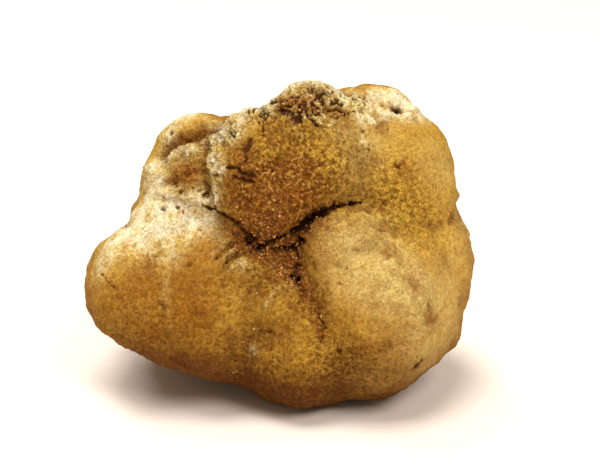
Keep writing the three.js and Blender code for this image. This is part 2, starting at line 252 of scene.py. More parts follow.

# %% [markdown]
# Thin ridges stand up where two lobes have grown into each other, and their crests are painted pale, as a
# painted highlight.
# They are routes too, and with a height below zero a ridge becomes a soft valley, such as the shallow
# grooves of the left lobe and the wrinkles at the mouth's left end.

# %% Routes of the ridges and the valleys
# Each ridge: its places, its width and its height at both ends in millimetres, and how pale its painted
# highlight is.
RIDGES = {
    "crown_rim": (
        [(0.02, -0.18, 0.97), (-0.05, -0.22, 0.93), (-0.13, -0.15, 0.91), (-0.20, -0.11, 0.90),
         (-0.25, -0.08, 0.87), (-0.30, -0.11, 0.84), (-0.32, -0.18, 0.81), (-0.33, -0.25, 0.77),
         (-0.32, -0.28, 0.73), (-0.30, -0.32, 0.69), (-0.28, -0.38, 0.66)],
        (1.4, 1.7), (1.1, 1.3), 1.0,
    ),
    "rim_foot": (
        [(-0.36, -0.12, 0.82), (-0.37, -0.19, 0.78), (-0.38, -0.23, 0.74), (-0.37, -0.26, 0.70),
         (-0.36, -0.29, 0.67)],
        (0.8, 0.8), (-0.9, -0.9), 0.0,
    ),
    "nub_rim": (
        [(0.37, 0.15, 0.96), (0.39, 0.00, 0.94), (0.42, -0.11, 0.91), (0.46, -0.15, 0.885),
         (0.55, -0.05, 0.89), (0.62, -0.01, 0.89), (0.70, 0.18, 0.88)],
        (1.1, 1.1), (0.75, 0.6), 0.9,
    ),
    "nub_seam": (
        [(0.33, -0.08, 0.96), (0.38, -0.17, 0.92), (0.42, -0.25, 0.88), (0.43, -0.31, 0.84)],
        (0.8, 1.0), (0.6, 0.3), 0.8,
    ),
    "right_streak_high": (
        [(0.41, -0.54, 0.64), (0.52, -0.60, 0.59), (0.63, -0.72, 0.54), (0.71, -0.78, 0.47),
         (0.78, -0.79, 0.39)],
        (1.2, 2.0), (0.6, 0.6), 0.15,
    ),
    "right_streak_low": (
        [(0.32, -0.76, 0.53), (0.42, -0.82, 0.52), (0.51, -0.90, 0.49), (0.61, -0.92, 0.43),
         (0.69, -0.90, 0.35)],
        (2.0, 2.4), (0.6, 0.52), 0.15,
    ),
    "right_notch": (
        [(0.92, -0.11, 0.58), (0.80, -0.38, 0.58), (0.72, -0.49, 0.58)],
        (1.2, 1.5), (-1.05, -0.3), 0.0,
    ),
    "right_valley": (
        [(0.52, -0.66, 0.55), (0.62, -0.80, 0.50), (0.71, -0.84, 0.42), (0.77, -0.83, 0.35)],
        (1.3, 1.6), (-0.68, -0.6), 0.0,
    ),
    "left_upper_groove": (
        [(-0.60, -0.02, 0.77), (-0.50, -0.08, 0.82), (-0.41, -0.08, 0.84), (-0.34, -0.04, 0.85)],
        (1.3, 1.1), (-1.9, -2.2), 0.0,
    ),
    "left_upper_ridge": (
        [(-0.66, -0.05, 0.72), (-0.58, -0.12, 0.75), (-0.50, -0.11, 0.79), (-0.42, -0.16, 0.79)],
        (1.5, 1.2), (1.4, 1.0), 1.0,
    ),
    "left_upper_dent": (
        [(-0.59, -0.21, 0.70), (-0.50, -0.22, 0.72), (-0.42, -0.23, 0.74)],
        (1.5, 1.1), (-1.05, -1.35), 0.0,
    ),
    "left_shelf_edge": (
        [(-0.68, -0.18, 0.66), (-0.58, -0.21, 0.66), (-0.47, -0.25, 0.655), (-0.37, -0.28, 0.65)],
        (1.4, 1.0), (0.85, 0.7), 0.8,
    ),
    "left_ridge": (
        [(-0.55, -0.46, 0.54), (-0.55, -0.56, 0.52), (-0.55, -0.69, 0.48), (-0.55, -0.81, 0.38)],
        (1.5, 1.0), (1.05, 0.6), 0.40,
    ),
    "left_ridge_groove": (
        [(-0.63, -0.52, 0.53), (-0.64, -0.64, 0.49), (-0.64, -0.75, 0.42)],
        (1.4, 1.2), (-0.9, -0.45), 0.0,
    ),
    "left_ridge_short": (
        [(-0.30, -0.56, 0.53), (-0.33, -0.64, 0.50), (-0.37, -0.72, 0.45), (-0.38, -0.78, 0.38)],
        (1.1, 1.0), (0.9, 0.45), 0.0,
    ),
    "mouth_wrinkle_high": (
        [(-0.33, -0.64, 0.53), (-0.29, -0.58, 0.54), (-0.26, -0.52, 0.55)],
        (0.7, 0.7), (0.5, 0.7), 0.6,
    ),
    "mouth_wrinkle_middle": (
        [(-0.30, -0.68, 0.51), (-0.265, -0.62, 0.52), (-0.23, -0.56, 0.53)],
        (0.7, 0.7), (0.5, 0.7), 0.6,
    ),
    "mouth_wrinkle_low": (
        [(-0.25, -0.69, 0.49), (-0.215, -0.64, 0.50), (-0.18, -0.59, 0.51)],
        (0.7, 0.7), (0.5, 0.6), 0.6,
    ),
    "mouth_wrinkle_gap": (
        [(-0.32, -0.66, 0.52), (-0.28, -0.60, 0.53), (-0.245, -0.54, 0.54)],
        (0.5, 0.6), (-0.5, -0.9), 0.0,
    ),
    "mouth_wrinkle_gap_low": (
        [(-0.275, -0.685, 0.50), (-0.24, -0.63, 0.51), (-0.205, -0.575, 0.52)],
        (0.5, 0.6), (-0.5, -0.9), 0.0,
    ),
    "foot_fold": (
        [(-0.26, -0.58, 0.50), (-0.28, -0.68, 0.46), (-0.29, -0.76, 0.38), (-0.26, -0.80, 0.31)],
        (1.1, 1.0), (-1.05, -0.6), 0.0,
    ),
    "foot_brow": (
        [(-0.22, -0.62, 0.50), (-0.18, -0.63, 0.50), (-0.13, -0.64, 0.49)],
        (1.2, 1.1), (0.6, 0.6), 0.6,
    ),
    "foot_lump": ([(-0.14, -0.78, 0.26), (-0.12, -0.79, 0.24)], (0.8, 0.7), (0.75, 0.6), 0.6),
    "bump_rim": (
        [(-0.06, -0.81, 0.39), (-0.04, -0.79, 0.42), (-0.01, -0.76, 0.44), (0.04, -0.73, 0.45),
         (0.09, -0.71, 0.43)],
        (0.7, 0.7), (0.75, 0.75), 0.5,
    ),
    "back_rib": (
        [(-0.55, 0.70, 0.60), (-0.40, 0.85, 0.64), (-0.20, 0.88, 0.70)],
        (1.6, 1.2), (0.9, 0.6), 0.5,
    ),
    "back_fold": (
        [(-0.48, 0.80, 0.57), (-0.30, 0.92, 0.51), (-0.08, 0.98, 0.475), (0.14, 0.98, 0.455),
         (0.36, 0.92, 0.50), (0.50, 0.80, 0.56)],
        (1.8, 2.2), (-1.0, -1.2), 0.0,
    ),
    "back_seam": (
        [(0.05, 0.98, 0.45), (0.03, 0.98, 0.34), (-0.08, 0.90, 0.22)],
        (1.8, 1.4), (-1.1, -0.5), 0.0,
    ),
    "right_fold": (
        [(0.92, 0.34, 0.58), (0.94, 0.38, 0.45), (0.89, 0.36, 0.30)],
        (1.6, 1.6), (-1.0, -0.7), 0.0,
    ),
    "back_groove": (
        [(0.25, 0.90, 0.35), (0.45, 0.86, 0.36), (0.62, 0.72, 0.42)],
        (1.4, 1.4), (-1.05, -0.75), 0.0,
    ),
    "side_rib": ([(0.98, 0.05, 0.62), (0.99, 0.10, 0.50), (0.96, 0.05, 0.38)], (1.4, 1.4), (0.75, 0.6), 0.4),
    "left_side_rib": (
        [(-0.92, 0.30, 0.52), (-0.97, 0.20, 0.42), (-0.93, 0.10, 0.30)],
        (1.4, 1.2), (0.75, 0.6), 0.5,
    ),
}
print(len(RIDGES), "ridges and valleys")

# %% [markdown]
# The relief will ask, for each place on the skin, how far the nearest route is. The node that answers
# needs real edges, so every route becomes a chain of short edges on the skin, and keeps its width, depth
# and tone as attributes of its points. Curve objects would look tidier, but they can't be asked for those
# by the number of the nearest point. Cracks and ridges are two objects, because each place on the skin
# follows the nearest route alone, and a ridge shouldn't end where a crack comes near.

# %% Lay the routes on the skin
ROUTE_STEP = 0.2 * MM
PIT_LENGTH = 0.01


def smooth_line(corners, step):
    """Points about one step apart on a smooth line through the corners."""
    ends = [2 * corners[0] - corners[1], *corners, 2 * corners[-1] - corners[-2]]
    line = []
    for before, start, end, after in zip(ends, ends[1:], ends[2:], ends[3:]):
        count = max(1, round((end - start).length / step))
        for i in range(count):
            t = i / count
            bend = 2 * before - 5 * start + 4 * end - after + (3 * start - before - 3 * end + after) * t
            line.append(start + 0.5 * t * (end - before + t * bend))
    return [*line, corners[-1]]


def laid_routes(name, routes, skin_tree):
    """One object of bare edges that lies on the skin along every route, with what each point is like."""
    points, edges, widths, depths, tones = [], [], [], [], []
    for places, width, depth, tone in routes:
        line = smooth_line([spot(*place) for place in places], ROUTE_STEP)
        first = len(points)
        points += [skin_tree.find_nearest(point)[0] for point in line]
        edges += [(first + i, first + i + 1) for i in range(len(line) - 1)]
        widths += list(np.linspace(*width, len(line)) * MM)
        depths += list(np.linspace(*depth, len(line)) * MM)
        tones += [tone] * len(line)
    mesh = bpy.data.meshes.new(name)
    mesh.from_pydata(points, edges, [])
    for label, values in (("width", widths), ("depth", depths), ("tone", tones)):
        mesh.attributes.new(label, "FLOAT", "POINT").data.foreach_set("value", values)
    return into_scene(name, mesh)


skin_tree = BVHTree.FromObject(skin, bpy.context.evaluated_depsgraph_get())
pits = [
    ([(across, deep, up), (across + PIT_LENGTH, deep, up)], (radius, radius), (depth, depth), dark)
    for across, deep, up, radius, depth, dark in PITS
]
cracks = laid_routes("cracks", [*CRACKS.values(), *pits], skin_tree)
ridges = laid_routes("ridges", RIDGES.values(), skin_tree)
print("points along the cracks and pits:", len(cracks.data.vertices))
print("points along the ridges and valleys:", len(ridges.data.vertices))

# %% [markdown]
# ## Where the rind differs
# The rind isn't the same all over. Some of it is bare, some holds soil, and some has dried to a crust.
# Other patches paint light and shade into its colour: painted highlights where the tops catch the light,
# and painted shade in grooves, under the crown and low down. These places could be painted by hand in
# Texture Paint, but an image needs an unwrapped skin and can't be changed by a number. Here each kind of
# place is a list of soft round patches, and the patches are stored as an attribute of the mesh. An
# attribute stays with the surface, and both the relief and the material can read it.
#
# Soil fills the mouth, the seam below it and the folds, and dusts the front of the crown. The crust lies
# on top of the crown and down its left rim.

# %% Patches of soil and of crust
# Each patch, here and below: across, deep and up, its radius in millimetres, and its strength.
SOIL_PATCHES = [
    (-0.06, -0.60, 0.63, 5.0, 0.70), (0.02, -0.60, 0.70, 5.0, 0.40), (-0.22, -0.50, 0.68, 4.0, 0.50),
    (-0.18, -0.48, 0.79, 3.0, 0.60), (0.12, -0.25, 0.96, 5.0, 0.80), (0.30, -0.20, 0.96, 4.0, 0.80),
    (0.00, -0.20, 0.96, 3.5, 0.50), (-0.04, -0.57, 0.54, 4.6, 1.00), (0.04, -0.64, 0.48, 3.4, 0.95),
    (0.15, -0.75, 0.41, 1.8, 0.75), (0.20, -0.82, 0.35, 1.5, 0.60), (0.21, -0.85, 0.31, 1.6, 0.50),
    (-0.30, -0.37, 0.645, 1.4, 0.60), (-0.21, -0.54, 0.605, 2.0, 0.70), (-0.13, -0.56, 0.56, 2.4, 0.80),
    (-0.45, -0.22, 0.69, 4.0, 0.45), (-0.38, -0.10, 0.84, 2.5, 0.45), (-0.45, -0.20, 0.76, 2.6, 0.35),
    (0.60, -0.36, 0.77, 1.2, 0.50), (0.08, -0.52, 0.79, 6.0, 0.35), (0.22, -0.60, 0.635, 2.6, 0.45),
    (-0.50, -0.08, 0.82, 2.0, 0.50), (-0.47, -0.22, 0.74, 2.6, 0.50), (-0.50, 0.78, 0.56, 3.5, 0.60),
    (-0.28, 0.92, 0.51, 2.5, 0.60), (0.00, 0.98, 0.46, 3.0, 0.80), (0.34, 0.92, 0.49, 2.5, 0.60),
    (0.04, 0.98, 0.36, 1.8, 0.70), (-0.05, 0.85, 0.25, 5.0, 0.45), (0.90, 0.40, 0.45, 4.0, 0.45),
    (0.10, 0.50, 0.80, 5.0, 0.35),
]
CRUST_PATCHES = [
    (0.12, -0.25, 0.97, 6.5, 1.00), (0.30, -0.18, 0.97, 5.0, 1.00), (-0.02, -0.15, 0.96, 4.0, 0.90),
    (-0.18, -0.45, 0.78, 3.0, 0.45), (-0.15, -0.38, 0.84, 2.4, 0.35), (0.40, 0.02, 0.97, 4.0, 0.55),
    (0.45, -0.05, 0.92, 3.0, 0.50), (0.56, 0.02, 0.91, 2.4, 0.25), (-0.24, -0.22, 0.86, 2.6, 0.60),
    (-0.12, -0.20, 0.91, 2.6, 0.65), (-0.30, -0.20, 0.80, 2.2, 0.45), (-0.31, -0.30, 0.74, 2.2, 0.50),
    (-0.45, 0.60, 0.80, 4.0, 0.60),
]
print(len(SOIL_PATCHES), "patches of soil and", len(CRUST_PATCHES), "of crust")

# %% [markdown]
# The tops of the lobes are painted nearly cream, a painted highlight and sheen where they face the light,
# on rind that is bare there: the top of the left lobe, the shelf above it, the rim of the crown and the
# lobe at the upper right. The big right lobe, the shelf and the low right side are straw-coloured in soft
# streaks, partly their own colour and partly painted light where they face the lamps.

# %% Patches of bare rind with painted highlight, and of straw with painted light
# Painted highlight and sheen: these patches turn the tops paler, up to cream, where they face the light.
SHEEN_AND_BARE_PATCHES = [
    (-0.55, -0.31, 0.61, 3.2, 0.90), (-0.65, -0.32, 0.59, 4.5, 0.90), (-0.45, -0.29, 0.61, 3.0, 0.90),
    (-0.35, -0.30, 0.60, 2.6, 0.45), (-0.76, -0.23, 0.56, 5.0, 0.90), (-0.85, -0.34, 0.52, 4.5, 0.75),
    (-0.90, -0.46, 0.47, 4.0, 0.60), (-0.55, -0.45, 0.55, 4.5, 0.60), (-0.42, -0.40, 0.55, 4.0, 0.50),
    (-0.34, -0.34, 0.57, 3.0, 0.25), (-0.70, -0.42, 0.54, 5.0, 0.60), (-0.53, -0.60, 0.50, 2.2, 0.60),
    (0.62, 0.00, 0.89, 2.4, 0.85), (0.52, -0.06, 0.90, 2.0, 0.80), (-0.19, -0.63, 0.50, 1.8, 0.70),
    (-0.13, -0.78, 0.25, 1.2, 0.70), (0.40, -0.85, 0.51, 3.5, 0.25), (0.58, -0.92, 0.45, 3.5, 0.30),
    (0.05, 0.00, 0.99, 3.6, 1.00), (0.17, 0.00, 1.00, 3.6, 1.00), (0.30, -0.02, 0.98, 3.4, 1.00),
    (-0.02, -0.05, 0.97, 2.6, 0.90), (0.33, -0.12, 0.97, 2.6, 0.85), (0.47, 0.05, 0.94, 3.5, 0.95),
    (0.61, 0.16, 0.93, 4.0, 1.00), (0.69, 0.14, 0.88, 3.5, 0.85), (0.43, -0.05, 0.93, 2.6, 0.85),
    (-0.50, -0.11, 0.79, 2.5, 0.60), (-0.58, 0.01, 0.81, 2.5, 0.60), (-0.53, 0.14, 0.86, 4.0, 0.80),
    (-0.66, -0.12, 0.69, 3.5, 0.80), (-0.56, -0.22, 0.655, 2.6, 0.70), (-0.44, -0.27, 0.655, 2.6, 0.65),
    (-0.62, -0.18, 0.70, 2.4, 0.70), (-0.55, -0.05, 0.78, 2.4, 0.70), (-0.45, -0.13, 0.79, 2.2, 0.70),
    (-0.46, 0.16, 0.87, 3.0, 0.70), (-0.58, -0.21, 0.66, 1.8, 0.50), (-0.47, -0.25, 0.65, 1.8, 0.50),
    (-0.37, -0.28, 0.66, 2.5, 0.65), (-0.65, -0.22, 0.63, 3.0, 0.60), (-0.28, -0.16, 0.84, 2.6, 0.95),
    (-0.31, -0.24, 0.78, 2.2, 0.90), (-0.18, -0.17, 0.89, 2.6, 0.90), (-0.30, -0.34, 0.72, 1.6, 0.60),
    (-0.40, -0.36, 0.59, 3.5, 0.65), (-0.32, -0.37, 0.60, 2.4, 0.35), (-0.32, -0.47, 0.57, 3.0, 0.35),
    (-0.61, -0.04, 0.75, 2.6, 0.50), (-0.66, -0.08, 0.72, 3.0, 0.70), (-0.37, -0.12, 0.82, 2.0, 0.60),
    (-0.32, -0.05, 0.85, 3.0, 0.90), (-0.21, -0.28, 0.86, 2.2, 0.80), (-0.28, -0.33, 0.76, 2.0, 0.95),
    (-0.08, -0.14, 0.93, 2.6, 0.80), (0.38, -0.17, 0.92, 1.6, 0.60), (0.25, 0.60, 0.72, 8.0, 0.70),
    (-0.30, 0.90, 0.62, 8.0, 0.60), (0.50, 0.85, 0.30, 9.0, 0.60), (-0.50, 0.80, 0.28, 8.0, 0.45),
]
# Partly the rind's straw colour, partly painted light on lobes that face the lamps.
STRAW_AND_HIGHLIGHT_PATCHES = [
    (0.47, -0.57, 0.62, 3.0, 0.60), (-0.58, -0.20, 0.67, 5.0, 1.00), (-0.42, -0.25, 0.67, 5.0, 1.00),
    (-0.62, -0.15, 0.71, 4.0, 0.90), (-0.55, -0.05, 0.76, 4.0, 0.70), (0.35, -0.80, 0.51, 5.0, 0.80),
    (0.49, -0.93, 0.47, 5.0, 0.80), (0.64, -0.90, 0.43, 5.0, 0.80), (0.74, -0.80, 0.45, 4.0, 0.70),
    (0.76, -0.25, 0.78, 5.0, 0.35), (0.90, -0.15, 0.72, 6.0, 0.50), (0.93, -0.40, 0.52, 5.0, 0.40),
    (0.88, -0.60, 0.45, 5.0, 0.50), (0.95, 0.10, 0.50, 7.0, 0.70), (0.30, -0.30, 0.88, 4.0, 0.35),
    (0.40, -0.32, 0.82, 4.0, 0.60), (0.47, -0.26, 0.84, 4.0, 0.50), (0.35, -0.46, 0.74, 4.0, 0.35),
    (0.56, -0.81, 0.53, 5.0, 0.90), (0.45, -0.72, 0.57, 4.0, 0.70), (0.32, -0.72, 0.59, 4.0, 0.80),
    (0.25, -0.67, 0.63, 2.6, 0.70), (0.69, -0.90, 0.30, 6.0, 0.70), (0.79, -0.77, 0.34, 6.0, 0.80),
    (0.88, -0.54, 0.27, 7.0, 0.70), (0.76, -0.67, 0.18, 6.0, 0.60), (0.46, -0.86, 0.14, 6.0, 0.40),
    (-0.95, 0.00, 0.40, 6.0, 0.50), (0.55, 0.80, 0.45, 8.0, 0.60), (-0.20, 0.75, 0.75, 7.0, 0.60),
]
print(len(SHEEN_AND_BARE_PATCHES), "bare patches and", len(STRAW_AND_HIGHLIGHT_PATCHES), "of straw")

# %% [markdown]
# The rind is browner in patches, as on the front of the crown and the middle of the left lobe. These
# patches are partly the rind's own brown and partly painted shade: in the grooves of the upper left lobe,
# under the crown's overhang and low on the front. Low down, where the rind faces the ground, and at the
# corners of the mouth, painted shade makes it darker still.

# %% Patches of brown rind and of painted shade
# Partly brown rind, partly painted shade in grooves, under the crown and low on the front.
BROWN_AND_SHADE_PATCHES = [
    (-0.17, -0.50, 0.76, 2.0, 0.90), (-0.17, -0.43, 0.83, 2.4, 0.95), (0.10, -0.54, 0.79, 4.0, 0.80),
    (0.01, -0.58, 0.74, 5.0, 0.90), (-0.08, -0.58, 0.73, 4.5, 0.80), (0.05, -0.60, 0.68, 5.0, 0.90),
    (0.15, -0.59, 0.73, 4.0, 0.65), (-0.12, -0.55, 0.76, 4.0, 0.60), (-0.20, -0.50, 0.70, 4.0, 0.70),
    (0.23, -0.65, 0.63, 2.6, 0.70), (-0.40, -0.07, 0.845, 2.2, 1.00), (-0.50, -0.06, 0.82, 1.8, 0.95),
    (-0.58, -0.02, 0.78, 1.6, 0.80), (-0.45, -0.23, 0.74, 2.4, 0.95), (-0.52, -0.22, 0.72, 2.2, 0.85),
    (-0.31, -0.62, 0.52, 3.0, 0.50), (-0.27, -0.45, 0.60, 2.2, 0.60), (-0.37, -0.52, 0.555, 3.0, 0.45),
    (-0.66, -0.73, 0.43, 6.0, 0.50), (-0.78, -0.72, 0.38, 6.0, 0.40), (-0.46, -0.67, 0.49, 4.0, 0.45),
    (-0.37, -0.52, 0.53, 2.5, 0.60), (-0.42, -0.80, 0.38, 6.5, 1.00), (-0.38, -0.78, 0.45, 3.5, 0.70),
    (-0.64, -0.79, 0.30, 4.0, 0.50), (-0.39, -0.78, 0.21, 4.0, 0.60), (-0.10, -0.71, 0.12, 5.0, 0.70),
    (0.10, -0.86, 0.11, 5.0, 0.50), (-0.02, -0.80, 0.20, 4.0, 0.30), (0.62, -0.36, 0.76, 2.2, 0.70),
    (0.51, -0.48, 0.67, 2.0, 0.60), (0.42, -0.96, 0.28, 3.0, 0.50), (0.19, -0.78, 0.41, 3.0, 0.60),
    (0.22, -0.84, 0.32, 2.4, 0.50), (0.25, -0.88, 0.22, 3.0, 0.50), (-0.55, 0.75, 0.45, 6.0, 0.70),
    (0.30, 0.92, 0.50, 6.0, 0.60), (0.05, 0.85, 0.25, 6.0, 0.60), (0.80, 0.55, 0.35, 6.0, 0.60),
    (0.10, 0.45, 0.85, 5.0, 0.60), (-0.85, 0.30, 0.30, 5.0, 0.60),
]
# Painted shade: low down where the rind faces the ground, and at the corners of the mouth.
SHADE_PATCHES = [
    (-0.50, -0.71, 0.17, 5.5, 1.00), (-0.33, -0.68, 0.13, 5.0, 1.00), (-0.70, -0.70, 0.20, 4.5, 0.90),
    (-0.86, -0.55, 0.23, 4.0, 0.60), (-0.36, -0.77, 0.18, 3.0, 0.50), (-0.47, -0.77, 0.21, 2.6, 0.35),
    (-0.17, -0.55, 0.585, 2.0, 0.30), (-0.03, -0.57, 0.565, 1.8, 0.30), (0.03, -0.60, 0.65, 2.6, 0.25),
    (-0.06, -0.60, 0.62, 3.0, 0.25),
]
print(len(BROWN_AND_SHADE_PATCHES), "brown patches and", len(SHADE_PATCHES), "patches_of_shade")

# %% [markdown]
# The right side is a clear golden yellow. The grain of the rind shows most on the crown, round the mouth
# and low down, and less where the rind is bare and painted pale. The lists are then put together under
# the names of their attributes, and the overlap of soft patches is worked out as it is for layers of
# paint: each one covers a share of what is still bare.

# %% Patches of gold and of grain, and what all of them cover
GOLD_PATCHES = [
    (0.60, -0.46, 0.68, 9.0, 1.00), (0.85, -0.40, 0.58, 9.0, 0.90), (0.86, -0.15, 0.72, 8.0, 0.60),
    (0.18, -0.42, 0.86, 5.0, 0.60), (-0.30, -0.80, 0.35, 8.0, 0.40), (-0.60, 0.10, 0.72, 6.0, 0.60),
    (0.30, -0.95, 0.35, 6.0, 0.60), (0.60, 0.60, 0.60, 10.0, 0.60), (-0.10, 0.85, 0.45, 8.0, 0.50),
]
GRAIN_PATCHES = [
    (-0.02, -0.55, 0.76, 9.0, 1.00), (-0.10, -0.58, 0.66, 7.0, 1.00), (0.22, -0.50, 0.78, 8.0, 0.80),
    (0.55, -0.45, 0.70, 7.0, 0.60), (0.68, -0.42, 0.62, 6.0, 0.50), (0.10, -0.25, 0.95, 8.0, 0.90),
    (-0.05, -0.60, 0.52, 7.0, 1.00), (0.15, -0.76, 0.40, 3.5, 0.80), (-0.42, -0.15, 0.76, 6.0, 0.55),
    (-0.30, -0.20, 0.84, 4.0, 0.80), (-0.15, -0.80, 0.22, 9.0, 0.60), (0.30, -0.85, 0.20, 10.0, 0.70),
    (-0.75, -0.60, 0.25, 9.0, 0.45), (-0.30, 0.80, 0.45, 12.0, 0.80), (0.40, 0.80, 0.55, 10.0, 0.60),
    (0.10, 0.40, 0.85, 10.0, 0.70), (0.90, 0.30, 0.55, 9.0, 0.60), (-0.85, 0.30, 0.40, 9.0, 0.60),
]
PATCHES = {
    "soil_patch": SOIL_PATCHES,
    "bare_patch": SHEEN_AND_BARE_PATCHES,
    "straw_patch": STRAW_AND_HIGHLIGHT_PATCHES,
    "brown_patch": BROWN_AND_SHADE_PATCHES,
    "stain_patch": SHADE_PATCHES,
    "gold_patch": GOLD_PATCHES,
    "grain_patch": GRAIN_PATCHES,
    "crust_patch": CRUST_PATCHES,
}


def points_of(piece):
    flat = np.zeros(len(piece.data.vertices) * 3)
    piece.data.vertices.foreach_get("co", flat)
    return flat.reshape(-1, 3)


def covered(points, patches):
    """How much each point is covered by soft round patches, from 0 to 1."""
    missed = np.ones(len(points))
    for across, deep, up, radius, strength in patches:
        gap = np.linalg.norm(points - np.array(spot(across, deep, up)), axis=1)
        missed *= 1 - strength * np.exp(-((gap / (radius * MM)) ** 2))
    return 1 - missed


for name, patches in PATCHES.items():
    print(name, "covers", round(100 * covered(points_of(skin), patches).mean()), "% of the skin")

# %% [markdown]
# ## Finer quads where the detail is
# Quads over half a millimetre wide can't hold a grain or a crack of that width. Making them all smaller
# would make the mesh four times heavier, so only the quads near a crack, and those in patches of strong
# grain or crust, are split once more. The patches are then stored on the finished mesh as attributes. A
# Subdivision Surface modifier would do the splitting with less code, but it can't leave the smooth lobes
# alone.

# %% Split the quads near the detail and store the patches
FINE_REACH = 1.2 * MM
FINE_GRAIN = 0.62


def near_routes(points, routes, reach):
    """For each point, whether a route runs within reach of it."""
    tree = KDTree(len(routes.data.vertices))
    for i, vertex in enumerate(routes.data.vertices):
        tree.insert(vertex.co, i)
    tree.balance()
    return np.array([tree.find(point)[2] < reach for point in points])


def refine(piece, near):
    """Splits the edges between near points once."""
    mesh = bmesh.new()
    mesh.from_mesh(piece.data)
    edges = [edge for edge in mesh.edges if near[edge.verts[0].index] and near[edge.verts[1].index]]
    made = bmesh.ops.subdivide_edges(mesh, edges=edges, cuts=1, use_grid_fill=True)["geom_inner"]
    new_points = [part for part in made if isinstance(part, bmesh.types.BMVert)]
    every_way = {"use_axis_x": True, "use_axis_y": True, "use_axis_z": True}
    bmesh.ops.smooth_vert(mesh, verts=new_points, factor=0.5, **every_way)
    bmesh.ops.triangulate(mesh, faces=[face for face in mesh.faces if len(face.verts) > 4])
    mesh.to_mesh(piece.data)
    mesh.free()


points = points_of(skin)
rough = covered(points, PATCHES["grain_patch"] + PATCHES["crust_patch"]) > FINE_GRAIN
refine(skin, rough | near_routes(points, cracks, FINE_REACH))
for name, patches in PATCHES.items():
    layer = skin.data.attributes.new(name, "FLOAT", "POINT")
    layer.data.foreach_set("value", covered(points_of(skin), patches).astype(np.float32))
print("refined skin:", triangles(skin), "triangles")

# %% [markdown]
# ## A short way to write node trees
# Both the geometry and the materials are node trees. Written out in full, each node takes four or five
# lines, and the formula behind it is lost. This small class adds a node, feeds it and gives back its
# output, so that a tree reads as a list of formulas. Many nodes keep hidden sockets for other data types,
# so only the shown ones count.


# %% Node trees as formulas
def shown(sockets, place=0):
    """The shown socket of that name, or at that place among the shown ones."""
    visible = [socket for socket in sockets if socket.enabled]
    if isinstance(place, int):
        return visible[place]
    return next(socket for socket in visible if socket.name == place)


class Formulas:
    """Writes nodes into a tree, one formula at a time."""

    def __init__(self, tree):
        self.tree = tree

    def add(self, kind, feeds=None, **settings):
        node = self.tree.nodes.new(kind)
        for name, value in settings.items():
            setattr(node, name, value)
        for place, value in (feeds or {}).items():
            socket = shown(node.inputs, place)
            if isinstance(value, bpy.types.NodeSocket):
                self.tree.links.new(value, socket)
            else:
                socket.default_value = value
        return node

    def get(self, kind, feeds=None, out=0, **settings):
        return shown(self.add(kind, feeds, **settings).outputs, out)

    def math(self, operation, *values):
        return self.get("ShaderNodeMath", dict(enumerate(values)), operation=operation)

    def times(self, a, b):
        return self.math("MULTIPLY", a, b)

    def plus(self, *values):
        total = values[0]
        for value in values[1:]:
            total = self.math("ADD", total, value)
        return total

    def vector(self, operation, *values, **named):
        feeds = {**dict(enumerate(values)), **named}
        return self.get("ShaderNodeVectorMath", feeds, operation=operation)

    def ramp(self, value, low, high, start=0.0, end=1.0):
        """Goes smoothly from start to end as the value goes from low to high."""
        feeds = {"Value": value, "From Min": low, "From Max": high, "To Min": start, "To Max": end}
        return self.get("ShaderNodeMapRange", feeds, interpolation_type="SMOOTHSTEP")

    def density(self, length):
        """How many lumps of that length fit in a metre."""
        return self.math("DIVIDE", 1.0, length)

    def noise(self, place, length, seed=0.0, detail=2.0, roughness=0.5, out=0):
        """Soft noise whose lumps are about that far apart."""
        feeds = {
            "Vector": place, "W": seed, "Scale": self.density(length),
            "Detail": detail, "Roughness": roughness,
        }
        return self.get("ShaderNodeTexNoise", feeds, out, noise_dimensions="4D")

    def swing(self, *noise, **settings):
        """The same noise, about from -1 to 1."""
        return self.math("MULTIPLY_ADD", self.noise(*noise, **settings), 4.0, -2.0)

    def cells(self, place, length, out="Distance", feature="F1", **feeds):
        """A pattern of random cells whose middles are about that far apart."""
        feeds = {"Vector": place, "Scale": self.density(length), **feeds}
        return self.get("ShaderNodeTexVoronoi", feeds, out, feature=feature)

    def shaken(self, place, length, amount, seed=0.0, detail=2.0):
        """The place, moved about by up to the amount."""
        drift = self.vector("SUBTRACT", self.noise(place, length, seed, detail, out="Color"), (0.5, 0.5, 0.5))
        return self.vector("ADD", place, self.vector("SCALE", drift, Scale=amount))


# %% [markdown]
# ## The relief, as a Geometry Nodes tree
# The fine surface follows rules, so a node tree makes it. Displace modifiers with textures could raise
# grain too, but they know nothing of cracks and soil. Here every part of the relief is added up as one
# height, and the skin moves that far along its normal. The tree also stores what the material needs, such
# as where the soil lies, so colour and shape agree. The sizes are named inputs, which can be changed on
# the modifier.

# %% The inputs of the relief
RELIEF_INPUTS = {
    "Cracks": ("Object", None),
    "Ridges": ("Object", None),
    "Material": ("Material", None),
    "Seed": ("Float", 4.0),
    "Swell height": ("Float", 0.55 * MM),
    "Swell length": ("Float", 7.0 * MM),
    "Lump height": ("Float", 0.30 * MM),
    "Lump length": ("Float", 3.2 * MM),
    "Grain height": ("Float", 0.32 * MM),
    "Grain length": ("Float", 1.0 * MM),
    "Dimple depth": ("Float", 0.35 * MM),
    "Dimple length": ("Float", 4.0 * MM),
    "Soil height": ("Float", 0.50 * MM),
    "Soil grain": ("Float", 1.1 * MM),
    "Crust gap": ("Float", 0.75 * MM),
    "Crust step": ("Float", 0.55 * MM),
    "Crust plate": ("Float", 3.6 * MM),
    "Crack wobble": ("Float", 1.1 * MM),
}
print(len(RELIEF_INPUTS), "inputs of the relief")


